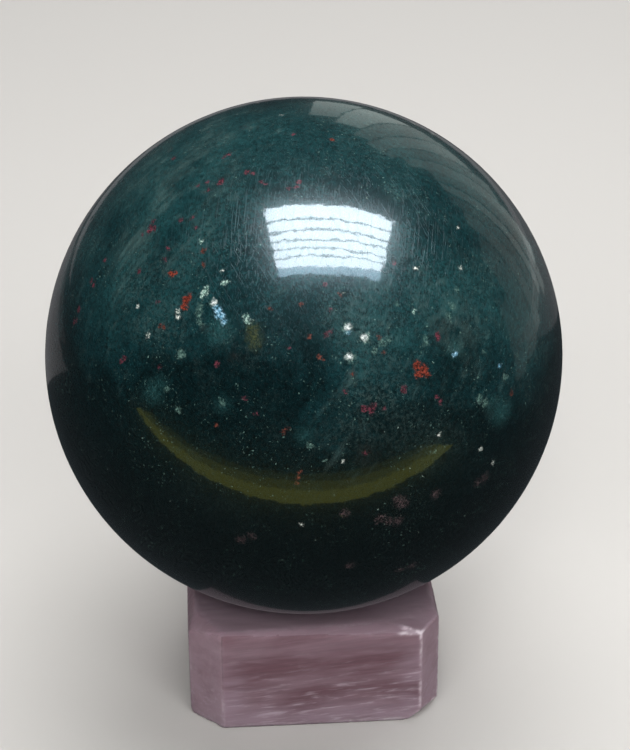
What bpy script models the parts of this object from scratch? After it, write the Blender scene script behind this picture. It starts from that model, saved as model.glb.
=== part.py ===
# Fancy jasper sphere resting in the ground seat of a small selenite block.
# Units are metres and +Z is up. The origin is on the surface that the block stands on,
# straight below the centre of the sphere. The block's fibres run along X, and its
# front is at -Y.

import math

import bmesh
import bpy
from mathutils import Vector

MM = 0.001

# The sphere
SPHERE_RADIUS = 35.0 * MM
SPHERE_SEGMENTS = 88
SPHERE_RINGS = 44

# The block
STAND_HEIGHT = 15.8 * MM
STAND_LEFT = -17.2 * MM
STAND_RIGHT = 17.7 * MM
STAND_FRONT = -16.8 * MM
STAND_BACK = 16.9 * MM
FOOT_RUN = 0.4 * MM
FOOT_RISE = 0.55 * MM
WORN_EDGE = 0.25 * MM
WORN_EDGE_ANGLE = math.radians(12.0)

# The seat ground in the top of the block, and the air left under the sphere
SEAT_DEPTH = 1.3 * MM
SEAT_CLEARANCE = 0.3 * MM
SEAT_SEGMENTS = 64
SEAT_RINGS = 64

SPHERE_CENTRE_Z = STAND_HEIGHT - SEAT_DEPTH + SPHERE_RADIUS

# How far each upright corner of the block is ground back, along X and along Y
FRONT_LEFT_CUT = (4.4 * MM, 4.2 * MM)
FRONT_RIGHT_CUT = (2.8 * MM, 3.5 * MM)
BACK_RIGHT_CUT = (3.6 * MM, 3.2 * MM)
BACK_LEFT_CUT = (3.9 * MM, 3.6 * MM)

# The slope ground along the top of each side, in the order that the outline runs:
# how far in it reaches half-way along, and its drop where the side starts and ends.
TOP_SLOPES = {
    "front": (1.2 * MM, 0.3 * MM, 1.0 * MM),
    "front_right": (3.0 * MM, 1.0 * MM, 0.5 * MM),
    "right": (0.6 * MM, 0.5 * MM, 0.4 * MM),
    "back_right": (1.1 * MM, 0.4 * MM, 0.9 * MM),
    "back": (1.0 * MM, 0.9 * MM, 0.5 * MM),
    "back_left": (1.3 * MM, 0.5 * MM, 1.1 * MM),
    "left": (0.9 * MM, 1.1 * MM, 1.6 * MM),
    "front_left": (1.4 * MM, 1.6 * MM, 0.3 * MM),
}

# The foot of the front right corner is ground off from here on the front's lower edge
# and up to these heights on the corner's two upright edges.
FOOT_CHIP_REACH = 2.5 * MM
FOOT_CHIP_INNER_RISE = 1.9 * MM
FOOT_CHIP_OUTER_RISE = 1.6 * MM

JASPER_COLOUR = (0.012, 0.045, 0.042, 1.0)
JASPER_ROUGHNESS = 0.1
SELENITE_COLOUR = (0.58, 0.50, 0.54, 1.0)
SELENITE_ROUGHNESS = 0.35


def clear_scene():
    for old in list(bpy.data.objects):
        bpy.data.objects.remove(old, do_unlink=True)


def new_collection(name):
    collection = bpy.data.collections.new(name)
    bpy.context.scene.collection.children.link(collection)
    return collection


def stone_material(name, colour, roughness):
    material = bpy.data.materials.new(name)
    material.use_nodes = True
    shader = material.node_tree.nodes["Principled BSDF"]
    shader.inputs["Base Color"].default_value = colour
    shader.inputs["Roughness"].default_value = roughness
    shader.inputs["Metallic"].default_value = 0.0
    material.diffuse_color = colour
    return material


def object_from(shape, name, collection):
    mesh = bpy.data.meshes.new(name)
    shape.to_mesh(mesh)
    shape.free()
    made = bpy.data.objects.new(name, mesh)
    collection.objects.link(made)
    return made


def ball(name, radius, segments, rings, collection):
    shape = bmesh.new()
    bmesh.ops.create_uvsphere(shape, u_segments=segments, v_segments=rings, radius=radius)
    made = object_from(shape, name, collection)
    made.location = (0.0, 0.0, SPHERE_CENTRE_Z)
    return made


def stand_outline():
    """The corners of the block seen from above, anticlockwise from the front's left end."""
    return [
        Vector((STAND_LEFT + FRONT_LEFT_CUT[0], STAND_FRONT, 0.0)),
        Vector((STAND_RIGHT - FRONT_RIGHT_CUT[0], STAND_FRONT, 0.0)),
        Vector((STAND_RIGHT, STAND_FRONT + FRONT_RIGHT_CUT[1], 0.0)),
        Vector((STAND_RIGHT, STAND_BACK - BACK_RIGHT_CUT[1], 0.0)),
        Vector((STAND_RIGHT - BACK_RIGHT_CUT[0], STAND_BACK, 0.0)),
        Vector((STAND_LEFT + BACK_LEFT_CUT[0], STAND_BACK, 0.0)),
        Vector((STAND_LEFT, STAND_BACK - BACK_LEFT_CUT[1], 0.0)),
        Vector((STAND_LEFT, STAND_FRONT + FRONT_LEFT_CUT[1], 0.0)),
    ]


def grind(shape, first, second, third):
    """Takes off what lies outside the plane through three points, seen from the block's middle."""
    middle = Vector((0.0, 0.0, STAND_HEIGHT / 2))
    outward = (second - first).cross(third - first).normalized()
    if outward.dot(first - middle) < 0:
        outward.negate()
    everything = shape.verts[:] + shape.edges[:] + shape.faces[:]
    bmesh.ops.bisect_plane(
        shape, geom=everything, dist=1e-7, plane_co=first, plane_no=outward, clear_outer=True
    )
    open_edges = [edge for edge in shape.edges if edge.is_boundary]
    bmesh.ops.holes_fill(shape, edges=open_edges, sides=0)


def sawn_block():
    """The block before it is ground: a box that reaches its outermost faces."""
    shape = bmesh.new()
    bmesh.ops.create_cube(shape, size=1.0)
    size = Vector((STAND_RIGHT - STAND_LEFT, STAND_BACK - STAND_FRONT, STAND_HEIGHT))
    centre = Vector((STAND_LEFT + STAND_RIGHT, STAND_FRONT + STAND_BACK, STAND_HEIGHT)) / 2
    bmesh.ops.scale(shape, vec=size, verts=shape.verts)
    bmesh.ops.translate(shape, vec=centre, verts=shape.verts)
    return shape


def grind_sides(shape, outline):
    """Grinds each upright corner, the slope along the top of each side, and its foot."""
    for index, (reach, drop_at_start, drop_at_end) in enumerate(TOP_SLOPES.values()):
        start = outline[index]
        end = outline[(index + 1) % len(outline)]
        up = Vector((0.0, 0.0, STAND_HEIGHT))
        inward = Vector((start.y - end.y, end.x - start.x, 0.0)).normalized()
        is_corner = start.x != end.x and start.y != end.y
        if is_corner:
            grind(shape, start, end, start + up)

        top_start = start + Vector((0.0, 0.0, STAND_HEIGHT - drop_at_start))
        top_end = end + Vector((0.0, 0.0, STAND_HEIGHT - drop_at_end))
        grind(shape, top_start, top_end, (start + end) / 2 + inward * reach + up)

        rise = Vector((0.0, 0.0, FOOT_RISE))
        grind(shape, start + rise, end + rise, start + inward * FOOT_RUN)


def grind_foot_chip(shape, outline):
    """Grinds off the foot of the front right corner."""
    inner = outline[1]
    outer = outline[2]
    grind(
        shape,
        inner - Vector((FOOT_CHIP_REACH, 0.0, 0.0)),
        inner + Vector((0.0, 0.0, FOOT_CHIP_INNER_RISE)),
        outer + Vector((0.0, 0.0, FOOT_CHIP_OUTER_RISE)),
    )


def build_sphere(collection):
    sphere = ball("jasper_sphere", SPHERE_RADIUS, SPHERE_SEGMENTS, SPHERE_RINGS, collection)
    sphere.data.shade_smooth()
    sphere.data.materials.append(
        stone_material("polished_jasper", JASPER_COLOUR, JASPER_ROUGHNESS)
    )
    return sphere


def build_stand(collection, cutters):
    outline = stand_outline()
    shape = sawn_block()
    grind_sides(shape, outline)
    grind_foot_chip(shape, outline)
    bmesh.ops.recalc_face_normals(shape, faces=shape.faces)
    stand = object_from(shape, "selenite_stand", collection)

    worn = stand.modifiers.new("worn edges", "BEVEL")
    worn.width = WORN_EDGE
    worn.segments = 2
    worn.limit_method = "ANGLE"
    worn.angle_limit = WORN_EDGE_ANGLE

    seat_radius = SPHERE_RADIUS + SEAT_CLEARANCE
    cutter = ball("seat_cutter", seat_radius, SEAT_SEGMENTS, SEAT_RINGS, cutters)
    cutter.hide_render = True
    cutter.display_type = "WIRE"
    seat = stand.modifiers.new("seat", "BOOLEAN")
    seat.operation = "DIFFERENCE"
    seat.solver = "EXACT"
    seat.object = cutter

    stand.data.materials.append(
        stone_material("satin_spar_selenite", SELENITE_COLOUR, SELENITE_ROUGHNESS)
    )
    return stand


def main():
    clear_scene()
    parts = new_collection("fancy_jasper_sphere")
    cutters = new_collection("cutters")
    build_sphere(parts)
    build_stand(parts, cutters)


main()
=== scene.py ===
import math

import bpy
import numpy as np
from mathutils import Matrix, Vector, noise


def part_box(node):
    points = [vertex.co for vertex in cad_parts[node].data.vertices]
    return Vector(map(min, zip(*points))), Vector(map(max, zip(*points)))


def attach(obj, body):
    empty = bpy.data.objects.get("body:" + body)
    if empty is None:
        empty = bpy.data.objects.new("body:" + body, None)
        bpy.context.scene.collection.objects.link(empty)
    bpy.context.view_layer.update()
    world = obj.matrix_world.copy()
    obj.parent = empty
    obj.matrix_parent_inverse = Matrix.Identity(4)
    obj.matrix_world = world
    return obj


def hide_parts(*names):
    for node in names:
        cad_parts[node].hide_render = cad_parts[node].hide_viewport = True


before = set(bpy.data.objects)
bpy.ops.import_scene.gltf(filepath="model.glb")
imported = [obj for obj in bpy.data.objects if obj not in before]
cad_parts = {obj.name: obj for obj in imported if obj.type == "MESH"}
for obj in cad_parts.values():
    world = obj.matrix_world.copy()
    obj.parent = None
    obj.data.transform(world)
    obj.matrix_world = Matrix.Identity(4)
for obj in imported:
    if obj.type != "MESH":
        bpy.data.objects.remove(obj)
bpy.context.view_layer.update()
mm = 0.001


# Small helpers

def linear(hexColour):
    # an sRGB hex colour as the linear RGBA that the shader wants
    channels = [int(hexColour[i : i + 2], 16) / 255 for i in (1, 3, 5)]
    return [c / 12.92 if c <= 0.04045 else ((c + 0.055) / 1.055) ** 2.4 for c in channels] + [1.0]


def addNode(tree, kind, values=(), output=0, stops=None, **settings):
    # adds a node with its settings and links, and gives one of its outputs: a value is a number,
    # a colour or another node's output, and stops are the colours of a ramp
    made = tree.nodes.new("ShaderNode" + kind)
    for name, setting in settings.items():
        setattr(made, name, setting)
    if not isinstance(values, dict):
        values = dict(enumerate(values))
    for place, value in values.items():
        if isinstance(value, bpy.types.NodeSocket):
            tree.links.new(value, made.inputs[place])
        else:
            made.inputs[place].default_value = value
    if stops:
        ramp = made.color_ramp.elements
        while len(ramp) < len(stops):
            ramp.new(0.5)
        for element, (position, colour) in zip(ramp, stops):
            element.position = position
            element.color = linear(colour)
    return made.outputs[output]


def addPatterns(tree, place, patterns):
    # the noise patterns of a material, by name
    made = {}
    for name, (size, drawnOut, turn, shift, detail, roughness, distortion) in patterns.items():
        moved = addNode(
            tree,
            "Mapping",
            {
                "Vector": place,
                "Location": (shift, 0, 0),
                "Rotation": turn,
                "Scale": (size * drawnOut, size, size),
            },
            vector_type="TEXTURE",
        )
        made[name] = addNode(
            tree,
            "TexNoise",
            {
                "Vector": moved,
                "Scale": 1.0,
                "Detail": detail,
                "Roughness": roughness,
                "Distortion": distortion,
            },
        )
    return made


def addLayers(tree, colour, layers, pattern):
    # colours laid over one another, each where its patterns are within their bounds
    for over, strength, *bounds in layers:
        mask = strength
        for name, low, high in bounds:
            share = addNode(
                tree, "MapRange", (pattern[name], low, high), interpolation_type="SMOOTHSTEP"
            )
            mask = addNode(tree, "Math", (mask, share), operation="MULTIPLY")
        colour = addNode(
            tree, "Mix", {0: mask, 6: colour, 7: linear(over)}, output=2, data_type="RGBA"
        )
    return colour


def newMaterial(name):
    material = bpy.data.materials.new(name)
    material.use_nodes = True
    tree = material.node_tree
    return material, tree, tree.nodes["Principled BSDF"]


def deselectAll():
    if bpy.context.mode != "OBJECT":
        bpy.ops.object.mode_set(mode="OBJECT")
    bpy.ops.object.select_all(action="DESELECT")


def placeInMesh(piece):
    # the piece's place goes into its mesh, so its object stays at the origin
    deselectAll()
    piece.select_set(True)
    bpy.context.view_layer.objects.active = piece
    bpy.ops.object.transform_apply(location=True, rotation=True, scale=True)


def readPoints(mesh):
    points = np.empty(len(mesh.vertices) * 3, np.float32)
    mesh.vertices.foreach_get("co", points)
    return points.reshape(-1, 3).astype(float)


def writePoints(mesh, points):
    mesh.vertices.foreach_set("co", points.astype(np.float32).ravel())
    mesh.update()


def smoothStep(low, high, value):
    share = np.clip((value - low) / (high - low), 0, 1)
    return share * share * (3 - 2 * share)


def paint(mesh, name, values):
    # a number for each vertex, which a material reads by this name
    layer = mesh.attributes.new(name, "FLOAT", "POINT")
    layer.data.foreach_set("value", np.asarray(values, np.float32))


# Camera: where the photograph was taken from

ballLow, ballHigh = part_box("jasper_sphere")
ballCentre = (ballLow + ballHigh) / 2
ballRadius = (ballHigh.x - ballLow.x) / 2

photoView = {
    "framePixels": (630, 750),
    "focalPixels": 1905,
    "ballPixel": (304, 355.6),   # the ball's centre in the photograph
    "distance": 260 * mm,
    "elevation": 26.0,
    "azimuth": -3.7,
    "roll": -0.4,
    "sensor": 36.0,
}


def cameraAxes():
    azimuth = math.radians(photoView["azimuth"])
    elevation = math.radians(photoView["elevation"])
    back = Vector((
        math.sin(azimuth) * math.cos(elevation),
        -math.cos(azimuth) * math.cos(elevation),
        math.sin(elevation),
    ))
    right = Vector((math.cos(azimuth), math.sin(azimuth), 0.0))
    up = back.cross(right)
    roll = math.radians(photoView["roll"])
    return (
        back,
        right * math.cos(roll) + up * math.sin(roll),
        up * math.cos(roll) - right * math.sin(roll),
    )


def pixelRay(pixel):
    # the direction in which the camera sees a pixel of the photograph
    back, right, up = cameraAxes()
    wide, high = photoView["framePixels"]
    across = (pixel[0] - wide / 2) / photoView["focalPixels"]
    down = (pixel[1] - high / 2) / photoView["focalPixels"]
    return right * across - up * down - back


def cameraPlace():
    return ballCentre - pixelRay(photoView["ballPixel"]) * photoView["distance"]


def onBall(pixel):
    # the point of the ball that a pixel of the photograph shows, from the ball's centre
    eye = cameraPlace() - ballCentre
    ray = pixelRay(pixel).normalized()
    along = eye.dot(ray)
    depth = -along - math.sqrt(along * along - eye.length_squared + ballRadius ** 2)
    return eye + ray * depth


def addCamera():
    back, right, up = cameraAxes()
    lens = bpy.data.cameras.new("photoCamera")
    camera = bpy.data.objects.new("photoCamera", lens)
    bpy.context.scene.collection.objects.link(camera)
    turn = Matrix((right, up, back)).transposed().to_4x4()
    camera.matrix_world = Matrix.Translation(cameraPlace()) @ turn
    lens.sensor_width = photoView["sensor"]
    lens.lens = photoView["sensor"] * photoView["focalPixels"] / photoView["framePixels"][1]
    lens.clip_start = 10 * mm
    lens.clip_end = 20.0
    bpy.context.scene.camera = camera


addCamera()
print("camera in place")


# The ball's markings, and a few painted glints, by their pixels in the photograph. Each is x, y
# and its width in pixels.

orangeFlecks = [
    (184, 306, 7.2), (186.5, 300, 7.8), (188.5, 297, 6.2),
    (417, 366, 8.0), (423, 370, 9.0), (419, 374, 6.5), (428, 375, 4.5), (415, 362, 3.0),
    (172, 274, 5.0), (175.5, 272.5, 3.6), (332, 140, 4.0),
]
rustyFlecks = [
    (202.5, 251, 4.4), (203, 265, 4.0), (284, 432, 4.5), (286, 429, 3.2), (300, 473, 3.4),
    (298, 478, 4.6), (296.5, 483, 3.2), (160, 326, 3.8), (164, 327, 3.8), (302, 304, 3.6),
    (320, 357, 3.2), (323, 359, 2.6), (352, 374, 3.4), (512, 393, 4.4), (217, 425, 3.0),
    (379, 337, 3.2), (309, 337, 3.2), (384, 353, 3.0), (341, 295, 4.0), (270, 308, 3.6),
]
crimsonFlecks = [
    (364, 409, 4.2), (371, 411, 6.0), (373, 406, 4.6), (368, 409, 4.0), (438, 336, 5.5),
    (437, 339, 4.2), (404, 390, 4.6), (404, 387, 3.4), (151, 227, 5.0), (149, 231, 4.2),
    (153, 222, 3.0), (221, 181, 5.0), (219, 184, 4.0), (207, 182, 2.8), (208, 190, 3.6),
    (198, 186, 2.8), (247, 172, 4.2), (253, 173, 3.0), (262, 182, 3.2), (265, 184, 2.4),
    (299, 182, 4.0), (296, 187, 3.2), (289, 188, 2.6), (174, 158, 3.2), (293, 134, 2.6),
    (181, 220, 3.2), (191, 218, 2.6), (168, 248, 3.0), (165, 259, 3.0), (139, 271, 3.4),
    (79, 309, 3.6), (76, 321, 2.8), (124, 358, 4.2), (121, 361, 3.2), (158, 302, 3.2),
    (159, 367, 3.0), (217, 364, 3.6), (244, 398, 3.4), (256, 414, 3.2), (289, 348, 2.8),
    (325, 284, 3.2), (326, 335, 4.4), (330, 331, 3.0), (345, 391, 3.0), (394, 264, 3.2),
    (440, 402, 4.0), (437, 397, 2.8), (366, 453, 3.0), (385, 408, 2.8), (331, 309, 2.6),
    (229, 154, 3.6), (224, 157, 2.6), (196, 228, 2.8), (192, 217, 2.6), (142, 235, 2.8),
    (154, 229, 3.4), (91, 281, 3.4), (94, 285, 2.8), (105, 260, 2.8), (74, 322, 3.2),
]
# pale cream specks; some of them are painted glints of small lamps, drawn as pale inclusions
creamSpecksAndGlints = [
    (178, 312, 4.0), (177.5, 317, 4.2), (148, 335, 3.8), (460, 267, 2.6), (440, 434, 2.6),
    (481, 449, 3.0), (458, 228, 2.2), (493, 463, 2.4), (343, 461, 2.6), (301, 525, 2.2),
    (416, 268, 2.6), (222, 271, 2.4), (138, 306, 2.6),
]
paleGreenSpecks = [
    (204.5, 292, 5.0), (206.5, 288, 3.4), (202, 296, 3.4), (223, 283.5, 3.6), (227, 282, 2.6),
    (246, 317, 4.2), (248.5, 321, 3.2), (414, 312, 2.6), (368, 334, 2.4), (201, 241, 2.8),
]
greyGreenWispsAndGlow = [
    (200.5, 305, 3.6), (199.5, 310, 4.2), (198.5, 315, 4.0), (199, 320, 3.6), (201, 324, 2.8),
    (452, 306, 5.0), (449, 316, 4.0), (505, 378, 4.4), (222, 402, 4.4), (178, 410, 3.6),
    (382, 343, 5.0), (388, 340, 4.0), (310, 446, 4.4), (517, 355, 2.6), (397, 304, 2.6),
    (457, 289, 3.2), (167, 389, 4.0), (484, 352, 2.6), (325, 461, 2.4), (435, 452, 2.6),
    (181, 354, 6.5), (480, 399, 6.0), (485, 404, 5.0), (425, 338, 4.6), (426, 344, 4.0),
    # the first four below lie round the glint specks: painted glow about the painted glints
    (347, 328, 7.5), (365, 338, 7.5), (350, 357, 8.0), (213, 303, 6.0), (375, 350, 4.0),
]
# painted glints: bright white points where the polish mirrored small lamps, drawn as white
# inclusions
glintSpecks = [(348.2, 327.0, 4.3), (363.8, 337.0, 4.1), (349.2, 356.2, 4.8), (213.7, 302.3, 4.2)]
# misty places, where the pale clouds are thicker
mistyPlaces = [(165, 190, 95.0), (150, 230, 60.0), (210, 130, 60.0), (455, 320, 30.0)]
# a pale blue streak, an olive smudge, and dusty grey-pink tufts low on the right
paleBlueStreak = [
    (215.5, 307, 3.2), (218, 311, 5.0), (221, 316, 4.4), (224, 321, 3.4), (219, 316, 4.0),
    (455, 354, 3.0), (500, 366, 2.4), (348, 331, 3.0),
]
oliveSmudge = [(253, 329, 8.0), (254, 337, 9.0), (255, 343, 7.0)]
greyTufts = [
    (402, 503, 9.0), (398, 499, 6.0), (380, 519, 6.5), (388, 521, 5.0), (397, 521, 6.5),
    (484, 478, 6.0), (478, 482, 4.5), (436, 494, 5.5), (345, 514, 5.5), (412, 566, 5.0),
    (400, 570, 4.0), (349, 566, 3.5), (241, 540, 4.5), (252, 536, 3.5),
]
# blue-green patches
tealPatches = [
    (218, 325, 17.0), (221, 333, 15.0), (214, 337, 10.0), (153, 392, 15.0),
    (160, 384, 9.0), (501, 411, 19.0), (492, 404, 9.0), (304, 436, 9.0), (222, 404, 7.0),
    (398, 340, 14.0), (455, 348, 10.0), (451, 306, 12.0),
]


# The jasper ball

jasperBall = {
    "piecesPerSide": 96,           # squares along each side of the cube that is rounded
    # how far hand grinding leaves it out of round, and over what distance
    "unevenness": ((0.010 * mm, 9 * mm), (0.0042 * mm, 2.8 * mm)),
    "pitShare": 0.35,              # the share of the key flecks that have plucked pits
    "randomPits": 90,
    "pitRadius": (0.16 * mm, 0.42 * mm),
    "pitDepth": 0.12,              # as a share of its radius
    # no pits near the window's reflection, where the photograph shows an unbroken polish:
    # the middle and the reach in pixels
    "unpitted": ((329, 243), 115),
    # how often each square is cut near a pit, and how far round it, for a finer mesh there
    "pitCuts": 3,
    "pitMargin": 0.6 * mm,
    "seed": 7,
}


def ballPits():
    # small plucked holes: some where the flecks are, the rest anywhere on the ball
    draw = np.random.default_rng(jasperBall["seed"])
    low, high = jasperBall["pitRadius"]
    pits = []
    for x, y, width in orangeFlecks + rustyFlecks + crimsonFlecks + glintSpecks:
        if draw.random() < jasperBall["pitShare"]:
            pits.append((onBall((x, y)).normalized(), draw.uniform(low, high)))
    for direction in draw.normal(size=(jasperBall["randomPits"], 3)):
        pits.append((Vector(direction).normalized(), draw.uniform(low, high)))
    pixel, reach = jasperBall["unpitted"]
    middle = onBall(pixel)
    reach *= photoView["distance"] / photoView["focalPixels"]
    return [pit for pit in pits if (pit[0] * ballRadius - middle).length > reach]


def buildJasperBall():
    sides = jasperBall["piecesPerSide"]
    deselectAll()
    bpy.ops.mesh.primitive_cube_add(size=2 * ballRadius, location=ballCentre)
    ball = bpy.context.object
    ball.name = "jasperBall"
    bpy.ops.object.mode_set(mode="EDIT")
    bpy.ops.mesh.select_all(action="SELECT")
    bpy.ops.mesh.subdivide(number_cuts=sides - 1, smoothness=0)
    bpy.ops.object.mode_set(mode="OBJECT")
    rounding = ball.modifiers.new("rounded", "CAST")
    rounding.cast_type = "SPHERE"
    rounding.factor = 1.0
    rounding.size = ballRadius
    bpy.ops.object.modifier_apply(modifier=rounding.name)
    placeInMesh(ball)

    # finer faces where the pits go
    pits = ballPits()
    centre = np.array(ballCentre)
    faceCount = len(ball.data.polygons)
    middles = np.empty(faceCount * 3, np.float32)
    ball.data.polygons.foreach_get("center", middles)
    outward = middles.reshape(-1, 3) - centre
    outward *= ballRadius / np.linalg.norm(outward, axis=1)[:, None]
    near = np.zeros(faceCount, bool)
    for direction, radius in pits:
        reach = radius + jasperBall["pitMargin"]
        near |= np.linalg.norm(outward - np.array(direction) * ballRadius, axis=1) < reach
    bpy.ops.object.mode_set(mode="EDIT")
    bpy.ops.mesh.select_mode(type="FACE")
    bpy.ops.mesh.select_all(action="DESELECT")
    bpy.ops.object.mode_set(mode="OBJECT")
    ball.data.polygons.foreach_set("select", near)
    bpy.ops.object.mode_set(mode="EDIT")
    bpy.ops.mesh.subdivide(number_cuts=jasperBall["pitCuts"], smoothness=0)
    bpy.ops.object.mode_set(mode="OBJECT")

    # back on the ball, a little out of round, with the pits pressed in
    points = readPoints(ball.data) - centre
    directions = points / np.linalg.norm(points, axis=1)[:, None]
    radii = np.full(len(directions), ballRadius)
    for amount, scale in jasperBall["unevenness"]:
        depth = np.array([noise.noise(Vector(d) * (ballRadius / scale)) for d in directions])
        radii -= amount * (0.5 + 0.5 * depth)
    for direction, radius in pits:
        away = np.linalg.norm(directions - np.array(direction), axis=1) * ballRadius / radius
        inside = away < 1
        radii[inside] -= radius * jasperBall["pitDepth"] * (1 - away[inside] ** 2) ** 1.5
    writePoints(ball.data, directions * radii[:, None] + centre)
    ball.data.shade_smooth()
    print("jasper ball:", len(ball.data.polygons), "faces,", len(pits), "pits")
    return ball


ball = buildJasperBall()
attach(ball, "root")
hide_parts("jasper_sphere")


# Colour of the jasper

jasperLook = {
    # the ground's colours, by how light its large pattern makes it
    "ground": ((0.38, "#031517"), (0.52, "#092629"), (0.70, "#163739")),
    # painted shade and light: how much it darkens downwards and lightens upwards, as if lit from
    # above, and between which heights in mm
    "paintedShadeDown": (-13.0, 24.0, 0.30),
    "paintedLightUp": (4.0, 26.0, 0.11),
    # fine grains within these bounds make it this dark and this light
    "mottle": (0.3, 0.7, 0.08, 0.96),
    # each pattern's size in mm, how drawn out it is and which way, its place, detail,
    # roughness and distortion; the scratches are really a few hundredths of a millimetre
    # wide, and are drawn about three times as coarse
    "patterns": {
        "large": (18.0, 1.0, (0.0, 0.0, 0.0), 0.0, 5.0, 0.60, 0.7),
        "grains": (0.55, 1.0, (0.0, 0.0, 0.0), 0.0, 6.0, 0.78, 0.0),
        "rust": (6.0, 1.0, (0.0, 0.0, 0.0), 57.0, 4.0, 0.60, 0.0),
        "clouds": (12.0, 1.0, (0.0, 0.0, 0.0), 0.0, 6.0, 0.68, 0.0),
        "dust": (0.40, 1.0, (0.0, 0.0, 0.0), 0.0, 5.0, 0.75, 0.0),
        "wisps": (1.1, 8.0, (0.0, -0.9, 0.3), 0.0, 5.0, 0.65, 0.3),
        "thick": (6.0, 1.0, (0.0, 0.0, 0.0), 44.0, 3.0, 0.60, 0.0),
        "warp": (0.67, 1.0, (0.0, 0.0, 0.0), 0.0, 3.0, 0.60, 0.0),
        "crumble": (0.27, 1.0, (0.0, 0.0, 0.0), 0.0, 3.0, 0.75, 0.0),
        "scratches": (0.16, 60.0, (0.0, -0.62, 1.40), 0.0, 2.0, 0.50, 0.3),
        "crossing": (0.18, 45.0, (0.0, -0.62, 2.15), 9.0, 2.0, 0.50, 0.3),
        "peel": (1.50, 1.0, (0.0, 0.0, 0.0), 0.0, 1.5, 0.50, 0.0),
    },
    # what lies over the ground, from the bottom layer up: its colour, its strength, and the
    # patterns that bound it, each with the values where it starts and where it is full
    "layers": (
        # painted shade: a near-black veil that darkens the lower half
        ("#070c0c", 0.75, ("height", 12.0, -12.0)),
        ("#3f3028", 0.22, ("rust", 0.62, 0.76), ("height", -5.0, 20.0)),
        ("#5f7874", 0.30, ("clouds", 0.47, 0.72), ("dust", 0.42, 0.68), ("height", -13.0, 22.0)),
        ("#5f7874", 0.26, ("wisps", 0.54, 0.76), ("large", 0.42, 0.60), ("height", -13.0, 22.0)),
        ("#5f7874", 0.34, ("mist", -7.0, 5.0), ("wisps", 0.30, 0.76), ("thick", 0.38, 0.62)),
    ),
    # flecks strewn all over: how many cells to the millimetre, the widest fleck's reach in mm,
    # the share of cells left empty, colour, strength and the pattern that thins them out
    "strewn": (
        (0.28, 1.75, 0.52, "crimson", 1.0, ("behind", -6.0, 8.0)),
        (0.23, 1.90, 0.58, "orange", 1.0, ("behind", -4.0, 10.0)),
        (0.40, 1.20, 0.62, "cream", 0.9, ("behind", -6.0, 8.0)),
        (2.70, 0.17, 0.40, "greyGreen", 0.75, ("thick", 0.42, 0.60)),
        (1.30, 0.34, 0.78, "paleGreen", 0.6, ("thick", 0.36, 0.52)),
    ),
    "strewnCrumble": 0.25,         # how far the fine pattern crumbles them, in mm
    "strewnEdge": 0.04,            # the softness of their edges, as a share of a cell
    "wander": 0.9,                 # how far the flecks' outlines wander, in mm
    "crumbleMiddle": 0.52,
    # colours of the flecks: their pinholes, their dull and their bright parts, and where in
    # the fine pattern each of the three lies
    "fleckSteps": (0.40, 0.50, 0.62),
    "flecks": {
        "teal": ("#1c4244", "#23504f", "#3f6f71"),
        "tuft": ("#1c1516", "#382c2e", "#6d585b"),
        "olive": ("#1e2a1c", "#39401f", "#50502a"),
        "paleBlue": ("#2b5d70", "#5f9fbe", "#c6eaff"),
        "greyGreen": ("#233a37", "#3c5852", "#6d8a80"),
        "crimson": ("#1e1215", "#44212a", "#753945"),
        "rusty": ("#1a100f", "#40231e", "#6e3a2f"),
        "orange": ("#22110f", "#57251c", "#8a3c2d"),
        "paleGreen": ("#2f4c44", "#7b9d91", "#cde4d8"),
        "cream": ("#45554f", "#9ba79f", "#f0efe8"),
        # white: the colours of the painted glints
        "white": ("#98a5a4", "#d5dcda", "#f8faf8"),
    },
    # where the flecks that stand out are, their colour, the width of their edges in mm, their
    # strength, and how far a fine pattern crumbles them
    "placed": (
        (tealPatches, "teal", 1.40, 0.36, 1.0),
        (oliveSmudge, "olive", 0.90, 0.70, 0.6),
        (greyTufts, "tuft", 0.50, 0.55, 2.2),
        (paleBlueStreak, "paleBlue", 0.35, 0.95, 0.9),
        (greyGreenWispsAndGlow, "greyGreen", 0.30, 0.85, 1.0),
        (crimsonFlecks, "crimson", 0.18, 1.00, 0.8),
        (rustyFlecks, "rusty", 0.16, 0.95, 1.0),
        (orangeFlecks, "orange", 0.16, 1.00, 1.0),
        (paleGreenSpecks, "paleGreen", 0.20, 0.95, 0.9),
        (creamSpecksAndGlints, "cream", 0.20, 0.95, 0.9),
        (glintSpecks, "white", 0.30, 1.00, 0.5),
    ),
    "ior": 1.54,
    "hazeLevel": 0.3,              # the share of the gloss that fine scratches scatter
    "haze": (0.24, 0.43),
    # the values of the two patterns where scratches start and are full
    "scratchBounds": (("scratches", 0.54, 0.72), ("crossing", 0.58, 0.76)),
    "scratchDepth": 0.008 * mm,
    "scratchRipple": 0.02,         # their share of the ripple in the polish
    "peelDepth": 0.014 * mm,
    "polish": 0.05,
}


def fleckField(tree, place, flecks):
    # how far inside the nearest fleck each point is, in millimetres, negative outside
    farOutside = -100.0
    leastFacing = 0.35
    field = farOutside
    pixelSize = photoView["distance"] / photoView["focalPixels"] / mm
    for x, y, width in flecks:
        centre = onBall((x, y)) / mm
        facing = max(leastFacing, centre.normalized().dot(cameraAxes()[0]))
        radius = width * pixelSize / 2 / math.sqrt(facing)
        away = addNode(tree, "VectorMath", (place, centre), output="Value", operation="DISTANCE")
        inside = addNode(tree, "Math", (radius, away), operation="SUBTRACT")
        field = addNode(tree, "Math", (field, inside), operation="MAXIMUM")
    return field


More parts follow.
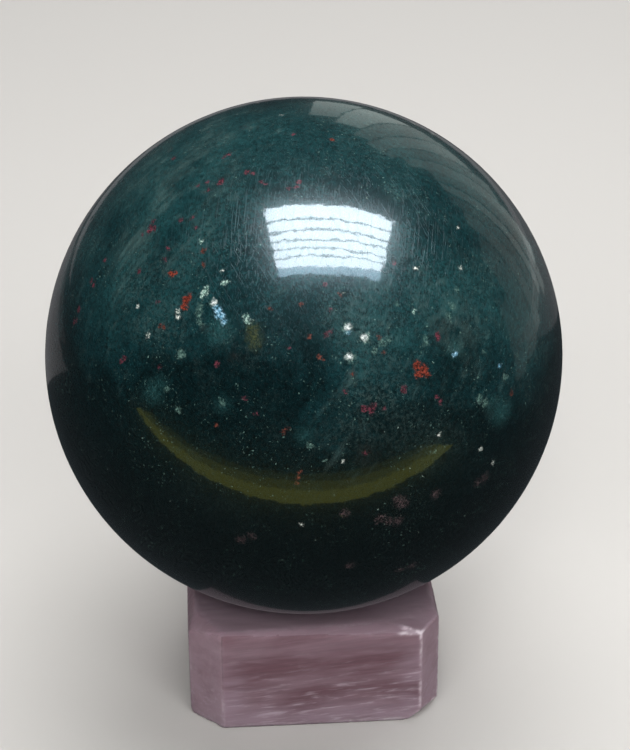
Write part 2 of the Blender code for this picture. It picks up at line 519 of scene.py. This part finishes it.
def jasperMaterial():
    # polished jasper: opaque fine-grained quartz, dark green with iron-red flecks and pale
    # chalcedony clouds, under a glassy polish with a haze of fine scratches
    # its colour also holds painted shade low down, painted light high up and painted glints
    material, tree, shader = newMaterial("polishedJasper")
    look = jasperLook
    # millimetres from the ball's centre
    inMm = addNode(
        tree,
        "Mapping",
        {
            "Vector": addNode(tree, "TexCoord", output="Object"),
            "Location": -ballCentre / mm,
            "Scale": (1 / mm, 1 / mm, 1 / mm),
        },
    )
    pattern = addPatterns(tree, inMm, look["patterns"])
    pattern["height"] = addNode(tree, "SeparateXYZ", (inMm,), output="Z")
    pattern["behind"] = pattern["height"].node.outputs["Y"]
    pattern["mist"] = fleckField(tree, inMm, mistyPlaces)

    # the ground: near-black green to blue-green, with painted shade low down, painted light high
    # up and a mottle of fine grains
    lightness = pattern["large"]
    for low, high, change in (look["paintedShadeDown"], look["paintedLightUp"]):
        share = addNode(
            tree, "MapRange", (pattern["height"], low, high), interpolation_type="SMOOTHSTEP"
        )
        lightness = addNode(tree, "Math", (share, change, lightness), operation="MULTIPLY_ADD")
    lightness = addNode(tree, "Math", (lightness, look["paintedShadeDown"][2]), operation="SUBTRACT")
    ground = addNode(tree, "ValToRGB", (lightness,), stops=look["ground"])
    mottle = addNode(tree, "MapRange", (pattern["grains"], *look["mottle"]))
    ground = addNode(
        tree,
        "Mix",
        {0: 1.0, 6: ground, 7: mottle},
        output=2,
        data_type="RGBA",
        blend_type="OVERLAY",
    )
    colour = addLayers(tree, ground, look["layers"], pattern)

    # the flecks' edges wander and crumble, and their colours go from pinholes to bright dust
    wander = addNode(
        tree,
        "VectorMath",
        (pattern["warp"].node.outputs["Color"], (0.5, 0.5, 0.5)),
        operation="SUBTRACT",
    )
    wander = addNode(
        tree, "VectorMath", {0: wander, "Scale": look["wander"]}, operation="SCALE"
    )
    warped = addNode(tree, "VectorMath", (inMm, wander), operation="ADD")
    ragged = addNode(
        tree, "Math", (pattern["crumble"], look["crumbleMiddle"]), operation="SUBTRACT"
    )
    tints = {}
    for name, colours in look["flecks"].items():
        stops = tuple(zip(look["fleckSteps"], colours))
        tints[name] = addNode(tree, "ValToRGB", (pattern["crumble"],), stops=stops)

    for perMm, reach, empty, name, strength, (thinned, low, high) in look["strewn"]:
        distance = addNode(
            tree, "TexVoronoi", {"Vector": warped, "Scale": perMm}, output="Distance"
        )
        luck = addNode(tree, "SeparateColor", (distance.node.outputs["Color"],), output="Red")
        radius = addNode(tree, "Math", (luck, empty), operation="SUBTRACT")
        radius = addNode(tree, "Math", (radius, reach * perMm), operation="MULTIPLY")
        inside = addNode(tree, "Math", (radius, distance), operation="SUBTRACT")
        crumbled = look["strewnCrumble"] * perMm
        inside = addNode(tree, "Math", (ragged, crumbled, inside), operation="MULTIPLY_ADD")
        edge = look["strewnEdge"]
        mask = addNode(tree, "MapRange", (inside, -edge, edge), interpolation_type="SMOOTHSTEP")
        kept = addNode(
            tree,
            "MapRange",
            (pattern[thinned], low, high, 0.0, strength),
            interpolation_type="SMOOTHSTEP",
        )
        mask = addNode(tree, "Math", (mask, kept), operation="MULTIPLY")
        colour = addNode(
            tree, "Mix", {0: mask, 6: colour, 7: tints[name]}, output=2, data_type="RGBA"
        )

    for flecks, name, edge, strength, crumbling in look["placed"]:
        inside = addNode(
            tree,
            "Math",
            (ragged, crumbling, fleckField(tree, warped, flecks)),
            operation="MULTIPLY_ADD",
        )
        mask = addNode(
            tree,
            "MapRange",
            (inside, -edge, edge, 0.0, strength),
            interpolation_type="SMOOTHSTEP",
        )
        colour = addNode(
            tree, "Mix", {0: mask, 6: colour, 7: tints[name]}, output=2, data_type="RGBA"
        )

    # hairline scratches left by the polishing, in two crossing directions
    lines = 0.0
    for name, low, high in look["scratchBounds"]:
        some = addNode(
            tree, "MapRange", (pattern[name], low, high), interpolation_type="SMOOTHSTEP"
        )
        lines = addNode(tree, "Math", (lines, some), operation="MAXIMUM")
    rough = addNode(tree, "MapRange", (lines, 0.0, 1.0, *look["haze"]))
    bump = addNode(tree, "Bump", {"Height": lines, "Distance": look["scratchDepth"]})
    ripple = addNode(
        tree, "Math", (lines, look["scratchRipple"], pattern["peel"]), operation="MULTIPLY_ADD"
    )
    ripple = addNode(tree, "Bump", {"Height": ripple, "Distance": look["peelDepth"]})
    tree.links.new(colour, shader.inputs["Base Color"])
    tree.links.new(rough, shader.inputs["Roughness"])
    tree.links.new(bump, shader.inputs["Normal"])
    tree.links.new(ripple, shader.inputs["Coat Normal"])
    shader.inputs["Specular IOR Level"].default_value = look["hazeLevel"]
    shader.inputs["IOR"].default_value = look["ior"]
    shader.inputs["Coat Weight"].default_value = 1.0
    shader.inputs["Coat Roughness"].default_value = look["polish"]
    return material


ball.data.materials.clear()
ball.data.materials.append(jasperMaterial())
print("jasper coloured")


# The selenite stand: a small block ground off by hand at its corners, top edges and foot

seleniteStand = {
    "height": 15.8 * mm,
    "left": -17.2 * mm,
    "right": 17.7 * mm,
    "front": -16.8 * mm,
    "back": 16.9 * mm,
    # how far each upright corner is ground back along X and Y, from the front left one round
    "frontLeft": (4.4 * mm, 4.2 * mm),
    "frontRight": (2.8 * mm, 3.5 * mm),
    "backRight": (3.6 * mm, 3.2 * mm),
    "backLeft": (3.9 * mm, 3.6 * mm),
    # the slope along each side's top edge: its reach inwards, and its drop at either end
    "topSlopes": (
        (1.2 * mm, 0.3 * mm, 1.0 * mm),
        (3.0 * mm, 1.0 * mm, 0.5 * mm),
        (0.6 * mm, 0.5 * mm, 0.4 * mm),
        (1.1 * mm, 0.4 * mm, 0.9 * mm),
        (1.0 * mm, 0.9 * mm, 0.5 * mm),
        (1.3 * mm, 0.5 * mm, 1.1 * mm),
        (0.9 * mm, 1.1 * mm, 1.6 * mm),
        (1.4 * mm, 1.6 * mm, 0.3 * mm),
    ),
    "footRun": 0.4 * mm,
    "footRise": 0.55 * mm,
    "footChip": (2.5 * mm, 1.9 * mm, 1.6 * mm),
    "wornEdge": 0.34 * mm,
    "wornSegments": 3,
    "ballGap": 0.06 * mm,
    "grain": 0.27 * mm,            # the size of the finished mesh's faces
    "grooveDepth": 0.05 * mm,      # between the fibres
    # waves that make the grooves: how many to the mm along and across the fibres, a shift
    # and their strength
    "grooves": ((0.16, 1.5, 0, 1.0), (0.3, 3.1, 40, 0.6)),
    "grooveRise": (-0.5, 0.7),     # where in the waves grooves start, and where they are deepest
    "fibreFall": 0.09,             # how much the fibres slope along X
    "nibbleDepth": 0.13 * mm,      # where the edges are worn and splintered
    "nibbleWidth": (0.1 * mm, 0.6 * mm),
    # waves that make the splinters: how many to the mm, a shift and their strength
    "nibbles": ((0.9, (9, 5, 2), 1.0), (2.1, (0, 0, 0), 0.7)),
    "nibbleRise": (0.0, 0.8),
    "whiteRise": (-0.35, 0.45),    # where in the splinters bruising starts, and where it is full
    "whiteLeast": 0.4,
    "seatSmoothness": 0.3,         # the share of the roughness that is left in the seat
    "touch": 0.12 * mm,            # what is this near the ball or the floor touches it
    # how squarely a facet cuts across the fibres where it starts to look so, and where fully
    "endsFacing": (0.25, 0.8),
    # how far in from its edges a facet is palest, and how far in this ends
    "paleEdge": (0.3 * mm, 5.5 * mm),
    "bruisedEverywhere": 0.12,
    "bruiseCore": 0.4,             # the share of its reach within which a bruise is strongest
    # where the edges are bruised white, besides a little everywhere, partly painted edge
    # highlights where
    # the edges catch the light: a point, how far the bruising reaches from it, and how strong it
    # is
    "bruisesAndEdgeHighlights": (
        ((14.9, -16.8, 12.0), 4.2, 0.65),
        ((14.9, -16.8, 4.0), 5.5, 0.48),
        ((13.6, -16.4, 15.1), 2.7, 1.0),
        ((17.5, -13.0, 12.0), 5.0, 0.4),
        ((17.5, -13.5, 1.5), 4.0, 0.8),
        ((-12.8, -16.8, 4.0), 4.5, 0.35),
        ((-17.2, -12.6, 9.0), 4.0, 0.35),
        ((-6.0, -16.8, 0.5), 9.0, 0.3),
        ((8.0, -16.8, 0.5), 8.0, 0.4),
        ((5.0, -16.8, 15.3), 6.0, 0.2),
        ((14.1, 16.9, 9.0), 6.0, 0.7),
        ((-13.3, 16.9, 6.0), 5.0, 0.6),
        ((0.0, 16.9, 15.3), 8.0, 0.4),
        ((-17.2, 3.0, 14.5), 7.0, 0.45),
        ((17.7, 4.0, 15.2), 6.0, 0.5),
        ((-17.2, 13.3, 3.0), 5.0, 0.6),
    ),
}


def standFacets():
    # a point on each ground facet and the direction that it faces
    made = seleniteStand
    left, right, front, back = (made[side] for side in ("left", "right", "front", "back"))
    outline = [
        Vector((left + made["frontLeft"][0], front, 0)),
        Vector((right - made["frontRight"][0], front, 0)),
        Vector((right, front + made["frontRight"][1], 0)),
        Vector((right, back - made["backRight"][1], 0)),
        Vector((right - made["backRight"][0], back, 0)),
        Vector((left + made["backLeft"][0], back, 0)),
        Vector((left, back - made["backLeft"][1], 0)),
        Vector((left, front + made["frontLeft"][1], 0)),
    ]
    up = Vector((0, 0, made["height"]))
    middle = up / 2
    facets = []

    def facet(first, second, third):
        outward = (second - first).cross(third - first).normalized()
        if outward.dot(first - middle) < 0:
            outward.negate()
        facets.append((first, outward))

    for index, (reach, startDrop, endDrop) in enumerate(made["topSlopes"]):
        start = outline[index]
        end = outline[(index + 1) % len(outline)]
        inward = Vector((start.y - end.y, end.x - start.x, 0)).normalized()
        facet(start, end, start + up)
        topStart = start + up - Vector((0, 0, startDrop))
        topEnd = end + up - Vector((0, 0, endDrop))
        facet(topStart, topEnd, (start + end) / 2 + inward * reach + up)
        rise = Vector((0, 0, made["footRise"]))
        facet(start + rise, end + rise, start + inward * made["footRun"])
    reach, innerRise, outerRise = made["footChip"]
    facet(
        outline[1] - Vector((reach, 0, 0)),
        outline[1] + Vector((0, 0, innerRise)),
        outline[2] + Vector((0, 0, outerRise)),
    )
    return facets


def buildSeleniteStand():
    made = seleniteStand
    facets = standFacets()
    low = Vector((made["left"], made["front"], 0))
    high = Vector((made["right"], made["back"], made["height"]))
    deselectAll()
    bpy.ops.mesh.primitive_cube_add(size=1, location=(low + high) / 2, scale=high - low)
    stand = bpy.context.object
    stand.name = "seleniteStand"
    placeInMesh(stand)
    bpy.ops.object.mode_set(mode="EDIT")
    for point, outward in facets:
        bpy.ops.mesh.select_all(action="SELECT")
        bpy.ops.mesh.bisect(
            plane_co=point, plane_no=outward, use_fill=True, clear_outer=True, threshold=1e-6
        )
    bpy.ops.mesh.select_all(action="SELECT")
    bpy.ops.mesh.remove_doubles(threshold=1e-6)
    bpy.ops.mesh.normals_make_consistent(inside=False)
    bpy.ops.object.mode_set(mode="OBJECT")
    worn = stand.modifiers.new("wornEdges", "BEVEL")
    worn.width = made["wornEdge"]
    worn.segments = made["wornSegments"]
    worn.limit_method = "ANGLE"
    worn.angle_limit = math.radians(10)
    bpy.ops.object.modifier_apply(modifier=worn.name)

    # the seat, ground to the ball's own curve
    bpy.ops.mesh.primitive_uv_sphere_add(
        segments=128, ring_count=96, radius=ballRadius + made["ballGap"], location=ballCentre
    )
    grinder = bpy.context.object
    placeInMesh(grinder)
    deselectAll()
    stand.select_set(True)
    bpy.context.view_layer.objects.active = stand
    seat = stand.modifiers.new("seat", "BOOLEAN")
    seat.operation = "DIFFERENCE"
    seat.solver = "EXACT"
    seat.object = grinder
    bpy.ops.object.modifier_apply(modifier=seat.name)
    bpy.data.objects.remove(grinder, do_unlink=True)

    # an even fine mesh, for the fibres and the worn edges
    fine = stand.modifiers.new("fineMesh", "REMESH")
    fine.mode = "VOXEL"
    fine.voxel_size = made["grain"]
    bpy.ops.object.modifier_apply(modifier=fine.name)
    wearStand(stand, facets)
    stand.data.shade_smooth()
    print("selenite stand:", len(stand.data.polygons), "faces")
    return stand


def wearStand(stand, facets):
    # grooves between the fibres, splintered edges, how worn each place is with painted edge
    # highlights, and how far each place faces up, for a painted lighter top
    made = seleniteStand
    points = readPoints(stand.data)
    top = (Vector((0, 0, made["height"])), Vector((0, 0, 1)))
    bottom = (Vector((0, 0, 0)), Vector((0, 0, -1)))
    planes = facets + [top, bottom]
    depths = np.stack([(np.array(point) - points) @ np.array(out) for point, out in planes])
    outwards = np.array([np.array(out) for point, out in planes])
    facet = depths.argmin(axis=0)
    depth = depths.min(axis=0)
    nearest = outwards[facet]
    # how far each point is from the nearest edge of its facet
    alike = nearest @ outwards.T
    apart = np.sqrt(np.maximum(1 - alike ** 2, 1e-6))
    toEdges = (depths.T - alike * depth[:, None]) / apart
    toEdges[np.arange(len(points)), facet] = made["height"]
    toEdge = toEdges.min(axis=1)
    toCentre = points - np.array(ballCentre)
    seatDepth = np.linalg.norm(toCentre, axis=1) - ballRadius
    inSeat = seatDepth < made["touch"]
    nearest[inSeat] = -toCentre[inSeat] / np.linalg.norm(toCentre[inSeat], axis=1)[:, None]
    toEdge[inSeat] = depth[inSeat]

    groove = np.empty(len(points))
    nibble = np.empty(len(points))
    for index, point in enumerate(points):
        x, y, z = point / mm
        rise = z - made["fibreFall"] * x
        groove[index] = sum(
            strength * noise.noise(Vector((x * along + shift, y * across, rise * across)))
            for along, across, shift, strength in made["grooves"]
        )
        nibble[index] = sum(
            strength * noise.noise(Vector((x * perMm, y * perMm, z * perMm)) + Vector(shift))
            for perMm, shift, strength in made["nibbles"]
        )
    edge = 1 - smoothStep(*made["nibbleWidth"], toEdge)
    press = made["grooveDepth"] * smoothStep(*made["grooveRise"], groove)
    press += made["nibbleDepth"] * edge * smoothStep(*made["nibbleRise"], nibble)
    press[inSeat] *= made["seatSmoothness"]
    isBottom = points[:, 2] < made["touch"]
    press[isBottom] = 0
    points -= nearest * press[:, None]
    points[isBottom, 2] = np.maximum(points[isBottom, 2], 0)

    # nothing of the block stands into the ball
    toCentre = points - np.array(ballCentre)
    away = np.linalg.norm(toCentre, axis=1)
    closest = ballRadius + 0.5 * made["ballGap"]
    inside = away < closest
    points[inside] = np.array(ballCentre) + toCentre[inside] * (closest / away[inside])[:, None]
    writePoints(stand.data, points)
    squarely = np.abs(nearest[:, 0])
    paint(stand.data, "fibreEnds", smoothStep(*made["endsFacing"], squarely))
    # how far each place faces up, for the painted light on the top
    paint(stand.data, "upward", nearest[:, 2])
    # white bruising along the edges, partly painted edge highlights
    bruisedAndHighlit = np.full(len(points), made["bruisedEverywhere"])
    for place, reach, strength in made["bruisesAndEdgeHighlights"]:
        away = np.linalg.norm(points - np.array(place) * mm, axis=1)
        fading = smoothStep(made["bruiseCore"] * reach * mm, reach * mm, away)
        bruisedAndHighlit = np.maximum(bruisedAndHighlit, strength * (1 - fading))
    least = made["whiteLeast"]
    splintered = least + (1 - least) * smoothStep(*made["whiteRise"], nibble)
    paint(stand.data, "wearAndEdgeHighlight", edge * bruisedAndHighlit * splintered)
    paint(stand.data, "nearEdge", 1 - smoothStep(*made["paleEdge"], toEdge))


stand = buildSeleniteStand()
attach(stand, "root")
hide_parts("selenite_stand")
# the polish mirrors a dim card in its place, because the stand is in deep shadow there
stand.visible_glossy = False


# Colour of the selenite

seleniteLook = {
    "body": ((0.36, "#6a4f57"), (0.64, "#826b74")),
    # single fibres within these bounds make it this dark and this light
    "threads": (0.32, 0.68, 0.45, 0.55),
    "fibreTilt": 5.0,              # how much the fibres slope down to the right, in degrees
    # each pattern's size in mm, how drawn out it is and which way, its place, detail,
    # roughness and distortion; the fibres are really finer, and are drawn 0.5 mm wide
    "patterns": {
        "broad": (3.8, 5.0, (0.0, 0.0, 0.0), 0.0, 4.0, 0.60, 0.25),
        "fibres": (0.48, 24.0, (0.0, 0.0, 0.0), 0.0, 3.0, 0.65, 0.25),
        "strokes": (0.62, 8.0, (0.0, 0.0, 0.0), 17.0, 4.0, 0.62, 0.45),
        "grain": (1.80, 1.4, (0.0, 0.0, 0.0), 5.0, 3.0, 0.50, 0.25),
    },
    # paler on top, painted light from above; paler towards each facet's lower edges; white
    # strokes where the fibres part, most of them low down; pale faces where the fibres are cut
    # across, which scatter more light; and bruised edges, partly painted edge highlights
    "layers": (
        ("#96858f", 0.60, ("upward", 0.60, 1.00)),
        ("#988591", 0.66, ("nearEdge", 0.0, 1.0), ("broad", 0.2, 0.6), ("height", 14.5, 8.0)),
        ("#b2a3ac", 0.66, ("strokes", 0.49, 0.72), ("height", 13.0, 2.0)),
        ("#a898a1", 0.20, ("strokes", 0.56, 0.74)),
        ("#9a848e", 0.80, ("fibreEnds", 0.0, 1.0), ("grain", -0.20, 0.80)),
        ("#d6c9d0", 1.00, ("wearAndEdgeHighlight", 0.0, 1.0)),
    ),
    "ior": 1.52,
    # smooth fibres and worn edges within these bounds make it this smooth and this rough
    "satin": (0.3, 1.2, 0.32, 0.55),
    "threadDepth": 0.015 * mm,
    "glow": 0.7,
    "glowDepth": 5 * mm,
    "glowSpread": (1.0, 0.86, 0.92),
}


def seleniteMaterial():
    # satin spar: silky fibres of selenite lying side by side, translucent and lilac-grey, with
    # white strokes where the fibres part and white bruising along the worn edges, which is partly
    # painted edge highlight, and a painted lighter top
    material, tree, shader = newMaterial("satinSpar")
    look = seleniteLook
    inMm = addNode(
        tree,
        "Mapping",
        {
            "Vector": addNode(tree, "TexCoord", output="Object"),
            "Rotation": (0, math.radians(look["fibreTilt"]), 0),
            "Scale": (1 / mm, 1 / mm, 1 / mm),
        },
    )
    pattern = addPatterns(tree, inMm, look["patterns"])
    pattern["height"] = addNode(tree, "SeparateXYZ", (inMm,), output="Z")
    for name in ("fibreEnds", "upward", "wearAndEdgeHighlight", "nearEdge"):
        pattern[name] = addNode(tree, "Attribute", output="Fac", attribute_name=name)
    body = addNode(tree, "ValToRGB", (pattern["broad"],), stops=look["body"])
    threads = addNode(
        tree, "MapRange", (pattern["fibres"], *look["threads"]), interpolation_type="SMOOTHSTEP"
    )
    body = addNode(
        tree,
        "Mix",
        {0: 1.0, 6: body, 7: threads},
        output=2,
        data_type="RGBA",
        blend_type="OVERLAY",
    )
    colour = addLayers(tree, body, look["layers"], pattern)
    bump = addNode(tree, "Bump", {"Height": pattern["fibres"], "Distance": look["threadDepth"]})
    rough = addNode(tree, "Math", (pattern["fibres"], pattern["wearAndEdgeHighlight"]), operation="ADD")
    rough = addNode(tree, "MapRange", (rough, *look["satin"]))
    tree.links.new(colour, shader.inputs["Base Color"])
    tree.links.new(rough, shader.inputs["Roughness"])
    tree.links.new(bump, shader.inputs["Normal"])
    shader.inputs["IOR"].default_value = look["ior"]
    shader.inputs["Subsurface Weight"].default_value = look["glow"]
    shader.inputs["Subsurface Radius"].default_value = look["glowSpread"]
    shader.inputs["Subsurface Scale"].default_value = look["glowDepth"]
    return material


stand.data.materials.clear()
stand.data.materials.append(seleniteMaterial())
print("selenite coloured")


# Studio: a pale floor and soft light from above

studio = {
    "floorSize": 3.0,
    "floorColour": "#cac7c3",
    "floorRoughness": 0.9,
    "floorGloss": 0.2,
    "skyColour": "#a3b4bd",
    "skyStrength": 0.06,
    # the bank of strips that makes the barred window: its height, where it starts and ends
    # from left to right, and each strip's start and end from near to far in mm, its radiance
    # and its colour
    "bankHeight": 630 * mm,
    "bankSides": (-135 * mm, 365 * mm),
    "strips": (
        (-58, 8, 19.5, "#e3f3ff"),
        (-114, -66, 19.5, "#e3f3ff"),
        (-160, -122, 19.5, "#e3f3ff"),
        (-205, -168, 19.5, "#e3f3ff"),
        (-244, -212, 19.5, "#e3f3ff"),
        (-304, -251, 19.5, "#e3f3ff"),
        (-352, -305, 8.0, "#c2e6ff"),
    ),
    # the olive crescent: cards lying in front, each with its start and end in mm and radiance
    "frontCardSides": (-305 * mm, 125 * mm),
    "frontCards": ((-106, -88, 0.95), (-121, -106, 0.48), (-137, -121, 0.18)),
    "frontCardColour": "#c8c955",
    # pale cards lying behind the ball: from left to right, from near to far in mm, radiance
    "rimCards": (
        (-180, -60, 90, 320, 0.13),
        (-240, -180, 150, 450, 0.05),
        (-60, 800, 130, 420, 0.09),
        (-400, 800, 420, 1100, 0.22),
    ),
    "rimCardColour": "#e8e2e4",
    "lyingHeight": 0.5 * mm,
    # pale cards standing behind on the right: azimuth, width, lowest and highest elevation,
    # radiance
    "sideCards": (
        (99, 8, -12, 10, 0.20),
        (109, 11, -10, 24, 0.22),
        (118, 6, -8, 29, 0.32),
        (124, 5, -6, 32, 0.22),
        (129.5, 4, -6, 33, 0.42),
        (135, 5, -9, 34, 0.28),
        (140, 5, -6, 40, 0.42),
        (145.5, 5, 4, 44, 0.30),
        (151.5, 6, 8, 43, 0.46),
        (158, 6, 8, 40, 0.38),
        (165, 7, 8, 33, 0.66),
        (172, 6, 6, 28, 0.50),
    ),
    "sideCardColour": "#dde8e2",
    "sideCardDistance": 0.5,
    # the dim card in the place of the stand's top
    "standCardSides": (-16.8 * mm, 17.2 * mm),
    "standCardEnds": (-17 * mm, -3 * mm),
    "standCardHeight": 15.9 * mm,
    "standCardRadiance": 0.10,
    "standCardColour": "#d8b9c4",
    # soft lights that don't show in the polish: place, size, aim and power
    "softLights": {
        "softTop": ((0.12, 0.18, 0.95), (0.9, 0.9), (0, 0, 0), 10.0),
        "softFront": ((0.02, -0.66, 0.53), (1.1, 0.36), ballCentre, 6.8),
        "softBack": ((0.1, 0.9, 0.55), (1.0, 0.5), ballCentre, 1.2),
    },
    "spotPlace": (-0.12, -0.66, 0.60),
    "spotPower": 6.0,
    "spotAngle": 16.0,
    "spotSoftness": 0.09,
}


def addArea(name, place, size, radiance, aim, colour="#ffffff"):
    lamp = bpy.data.lights.new(name, "AREA")
    lamp.shape = "RECTANGLE"
    lamp.size, lamp.size_y = size
    lamp.energy = radiance * math.pi * size[0] * size[1]
    lamp.color = linear(colour)[:3]
    made = bpy.data.objects.new(name, lamp)
    bpy.context.scene.collection.objects.link(made)
    made.location = place
    made.rotation_mode = "QUATERNION"
    made.rotation_quaternion = (Vector(aim) - Vector(place)).to_track_quat("-Z", "Y")
    made.visible_camera = False
    return made


def addLevelCard(name, sides, ends, height, radiance, colour, aimHeight=1.0):
    # a card lying level, which shows in the polish and lights nothing else
    place = (sum(sides) / 2, sum(ends) / 2, height)
    size = (sides[1] - sides[0], ends[1] - ends[0])
    aim = (place[0], place[1], aimHeight)
    card = addArea(name, place, size, radiance, aim, colour)
    card.visible_diffuse = False


def addSideCard(name, azimuth, width, low, high, radiance):
    # a card standing upright round the ball, which shows in the polish and lights nothing else
    reach = studio["sideCardDistance"]
    turn = math.radians(azimuth)
    bottom, top = (reach * math.tan(math.radians(angle)) for angle in (low, high))
    place = Vector((reach * math.sin(turn), -reach * math.cos(turn), (bottom + top) / 2))
    place.z += ballCentre.z
    size = (reach * math.radians(width), top - bottom)
    aim = Vector((0, 0, place.z))
    card = addArea(name, place, size, radiance, aim, studio["sideCardColour"])
    card.visible_diffuse = False


def addFloor():
    deselectAll()
    bpy.ops.mesh.primitive_grid_add(
        x_subdivisions=8, y_subdivisions=8, size=studio["floorSize"], location=(0, 0, 0)
    )
    floor = bpy.context.object
    floor.name = "floor"
    material, tree, shader = newMaterial("paleFloor")
    shader.inputs["Base Color"].default_value = linear(studio["floorColour"])
    shader.inputs["Roughness"].default_value = studio["floorRoughness"]
    shader.inputs["Specular IOR Level"].default_value = studio["floorGloss"]
    floor.data.materials.append(material)
    floor.visible_glossy = False


def addSpot():
    lamp = bpy.data.lights.new("frontSpot", "SPOT")
    lamp.energy = studio["spotPower"]
    lamp.spot_size = math.radians(studio["spotAngle"])
    lamp.spot_blend = 1.0
    lamp.shadow_soft_size = studio["spotSoftness"]
    spot = bpy.data.objects.new("frontSpot", lamp)
    bpy.context.scene.collection.objects.link(spot)
    spot.location = studio["spotPlace"]
    spot.rotation_mode = "QUATERNION"
    spot.rotation_quaternion = (ballCentre - spot.location).to_track_quat("-Z", "Y")
    spot.visible_glossy = False


def buildStudio():
    addFloor()
    for index, (near, far, radiance, colour) in enumerate(studio["strips"]):
        ends = (near * mm, far * mm)
        addLevelCard(
            f"strip{index}",
            studio["bankSides"],
            ends,
            studio["bankHeight"],
            radiance,
            colour,
            aimHeight=0.0,
        )
    height = studio["lyingHeight"]
    for index, (near, far, radiance) in enumerate(studio["frontCards"]):
        ends = (near * mm, far * mm)
        colour = studio["frontCardColour"]
        addLevelCard(
            f"frontCard{index}", studio["frontCardSides"], ends, height, radiance, colour
        )
    for index, (low, high, near, far, radiance) in enumerate(studio["rimCards"]):
        sides = (low * mm, high * mm)
        ends = (near * mm, far * mm)
        addLevelCard(f"rimCard{index}", sides, ends, height, radiance, studio["rimCardColour"])
    for index, card in enumerate(studio["sideCards"]):
        addSideCard(f"sideCard{index}", *card)
    addLevelCard(
        "standCard",
        studio["standCardSides"],
        studio["standCardEnds"],
        studio["standCardHeight"],
        studio["standCardRadiance"],
        studio["standCardColour"],
    )
    for name, (place, size, aim, power) in studio["softLights"].items():
        light = addArea(name, place, size, 1.0, aim)
        light.data.energy = power
        light.visible_glossy = False
    addSpot()

    world = bpy.data.worlds.new("studioSky")
    bpy.context.scene.world = world
    world.use_nodes = True
    sky = world.node_tree.nodes["Background"]
    sky.inputs["Color"].default_value = linear(studio["skyColour"])
    sky.inputs["Strength"].default_value = studio["skyStrength"]
    bpy.context.scene.view_settings.view_transform = "Standard"


buildStudio()
print("studio lit")
